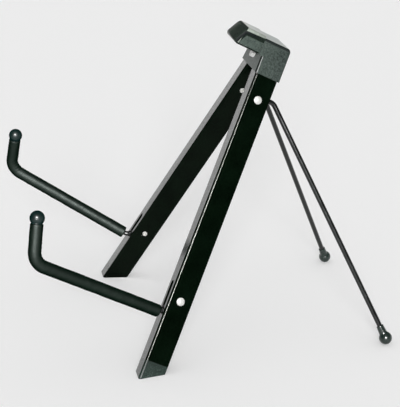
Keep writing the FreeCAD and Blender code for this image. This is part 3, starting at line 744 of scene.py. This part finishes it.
def nose_bumper():
    """The rubber cap over the nose: a folded strip with a sloping front and rounded edges."""
    slope = (NOSE_FRONT_LOW - NOSE_FRONT_HIGH) / (NOSE_HIGH - NOSE_LOW)
    lap_low = NOSE_LOW + NOSE_UNDER_LAP
    lap_high = NOSE_HIGH - NOSE_TOP_LAP
    inner_low = NOSE_FRONT_HIGH + (NOSE_HIGH - lap_low) * slope - NOSE_WALL
    inner_high = NOSE_FRONT_HIGH + (NOSE_HIGH - lap_high) * slope - NOSE_WALL
    foot_corner = (NOSE_FRONT_LOW, NOSE_LOW)
    outside = [(NOSE_REAR, NOSE_HIGH), (NOSE_FRONT_HIGH, NOSE_HIGH), foot_corner,
               (NOSE_REAR, NOSE_LOW)]
    hollow = [(NOSE_REAR, lap_low), (inner_low, lap_low), (inner_high, lap_high),
              (NOSE_REAR, lap_high)]

    # The side view as one face, with its lower front corner rounded, drawn across the head
    mesh = bmesh.new()
    left_side = HINGE - ACROSS * NOSE_HALF_WIDTH
    points = [mesh.verts.new(left_side + FORWARD * ahead + HEAD_UP * height)
              for ahead, height in outside + hollow]
    hollow_points = points[len(outside):]
    mesh.faces.new(points)
    round_off(mesh, [points[outside.index(foot_corner)]], NOSE_FOOT_TRIM, NOSE_FOOT_STEPS,
              affect="VERTICES")
    hollow_places = [point.co.copy() for point in hollow_points]
    made = bmesh.ops.extrude_face_region(mesh, geom=list(mesh.faces), use_keep_orig=True)["geom"]
    moved = [item for item in made if isinstance(item, bmesh.types.BMVert)]
    bmesh.ops.translate(mesh, verts=moved, vec=ACROSS * NOSE_HALF_WIDTH * 2)
    bmesh.ops.recalc_face_normals(mesh, faces=mesh.faces)

    def on_top(point):
        return (point.co - HINGE).dot(HEAD_UP) > NOSE_HIGH - TOUCHING

    def at_rear(point):
        return (point.co - HINGE).dot(FORWARD) < NOSE_REAR + TOUCHING

    def in_hollow(point):
        flat = Vector((-NOSE_HALF_WIDTH, point.co.y, point.co.z))
        return any((flat - corner).length < TOUCHING for corner in hollow_places)

    # Wide rounding along the top's two sides, then a small one on the other outer edges
    top_sides = [edge for edge in mesh.edges if all(map(on_top, edge.verts))
                 and abs(edge.verts[0].co.x - edge.verts[1].co.x) < TOUCHING]
    round_off(mesh, top_sides, NOSE_TOP_ROUND, NOSE_TOP_STEPS)
    rims = [edge for edge in mesh.edges if edge.calc_face_angle(0.0) > NOSE_RIM_TURN
            and not all(map(at_rear, edge.verts)) and not all(map(in_hollow, edge.verts))]
    round_off(mesh, rims, NOSE_RIM_ROUND, NOSE_RIM_STEPS)
    piece = finished("rubber_nose", mesh, "right_leg", NOSE_RUBBER)
    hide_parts("nose_bumper")


# Studio, with spreads in degrees
CAMERA_PLACE = Vector((1.3631, -0.2777, 0.6667))
CAMERA_AIM = Vector((0.0, 0.0061, 0.1336))
CAMERA_LENS = 122.28
SENSOR_WIDTH = 36.0
ROOM_LIGHT = 0.6
LAMP_STRENGTH = 1.7
LAMP_SPREAD = 18
FLASH_STRENGTH = 10.0
FLASH_SPREAD = 12
FLASH_RISE = 0.25
FLOOR_REACH = 12
FLOOR_SEEN = (0.8, 0.8, 0.8)
FLOOR_BOUNCE = (0.4, 0.4, 0.4)
FLOOR_GLOW = 0.2

# Dark cards: a corner of each and its two edges
CARDS = {
    "right_card": (Vector((2.0, 0.1, -0.4)), BACK * 3.4, UP * 2.6),
    "front_card": (Vector((-2.5, -1.6, 0.0)), ACROSS * 5.0, UP * 2.0),
    "roof_card": (Vector((-3.5, -4.0, 1.3)), ACROSS * 7.5, BACK * 9.0),
}


def set_up(name, data, spot, target):
    """Stand a lamp or camera at a spot, turned towards a target."""
    made = bpy.data.objects.new(name, data)
    made.location = spot
    made.rotation_euler = (target - spot).to_track_quat("-Z", "Y").to_euler()
    bpy.context.scene.collection.objects.link(made)
    return made


def camera():
    """The camera at the photograph's place."""
    data = bpy.data.cameras.new("camera")
    data.lens = CAMERA_LENS
    data.sensor_width = SENSOR_WIDTH
    data.sensor_fit = "HORIZONTAL"
    bpy.context.scene.camera = set_up("camera", data, CAMERA_PLACE, CAMERA_AIM)


def panel(name, corner, first, second, finish):
    """A flat stage panel from a corner and its two edges."""
    mesh = bmesh.new()
    points = [corner, corner + first, corner + first + second, corner + second]
    mesh.faces.new([mesh.verts.new(point) for point in points])
    piece = new_object(name, mesh, finish)
    return piece


def looked_at(tree):
    """1 for what the camera sees, straight or in gloss or glass, and 0 for other light."""
    path = tree.nodes.new("ShaderNodeLightPath").outputs
    gloss_or_glass = reckon(tree, "MAXIMUM", path["Is Glossy Ray"], path["Is Transmission Ray"])
    return reckon(tree, "MAXIMUM", path["Is Camera Ray"], gloss_or_glass)


def floor():
    """A pale floor that keeps the shadows."""
    finish = Finish("studio_floor", Roughness=0.9, Specular_IOR_Level=0.1, Emission_Color=WHITE)
    seen = looked_at(finish.tree)
    finish.colours(seen, FLOOR_BOUNCE, FLOOR_SEEN)
    glow = finish.product(seen, FLOOR_GLOW)
    feed(finish.tree, finish.shader.inputs["Emission Strength"], glow)
    side = FLOOR_REACH * 2
    panel("floor", (ACROSS + BACK) * -FLOOR_REACH, ACROSS * side, BACK * side, finish.material)


def dark_cards():
    """Black cards right of the camera, before the stand and overhead, only for reflections."""
    finish = Finish("black_card", Roughness=1.0, Specular_IOR_Level=0.0, Base_Color=BLACK)
    for name, (corner, first, second) in CARDS.items():
        card = panel(name, corner, first, second, finish.material)
        card.visible_camera = False
        card.visible_diffuse = False
        card.visible_shadow = False


def lamp(name, strength, spread, spot):
    """A lamp as far off as the sun, shining from the side of a spot."""
    data = bpy.data.lights.new(name, "SUN")
    data.energy = strength
    data.angle = math.radians(spread)
    return set_up(name, data, spot, Vector((0, 0, 0)))


def room():
    """An even white room, dimmer as light than it looks."""
    world = bpy.data.worlds.new("studio")
    bpy.context.scene.world = world
    world.use_nodes = True
    sky = world.node_tree.nodes["Background"]
    sky.inputs["Color"].default_value = WHITE
    strength = reckon(world.node_tree, "MAXIMUM", looked_at(world.node_tree), ROOM_LIGHT)
    feed(world.node_tree, sky.inputs["Strength"], strength)


def studio():
    """The room, floor, cards and camera, a soft lamp at the camera and a flash for highlights."""
    bpy.context.scene.view_settings.view_transform = "Standard"
    room()
    floor()
    dark_cards()
    camera_side = CAMERA_PLACE - CAMERA_AIM
    lamp("camera_lamp", LAMP_STRENGTH, LAMP_SPREAD, camera_side)
    flash = lamp("highlight_flash", FLASH_STRENGTH, FLASH_SPREAD, camera_side + UP * FLASH_RISE)
    flash.visible_diffuse = False
    camera()


dress_cad_nodes()
for leg in SIDES:
    foam_sleeve(leg)
    arm_ball(leg)
    rear_foot(leg)
nose_bumper()
studio()
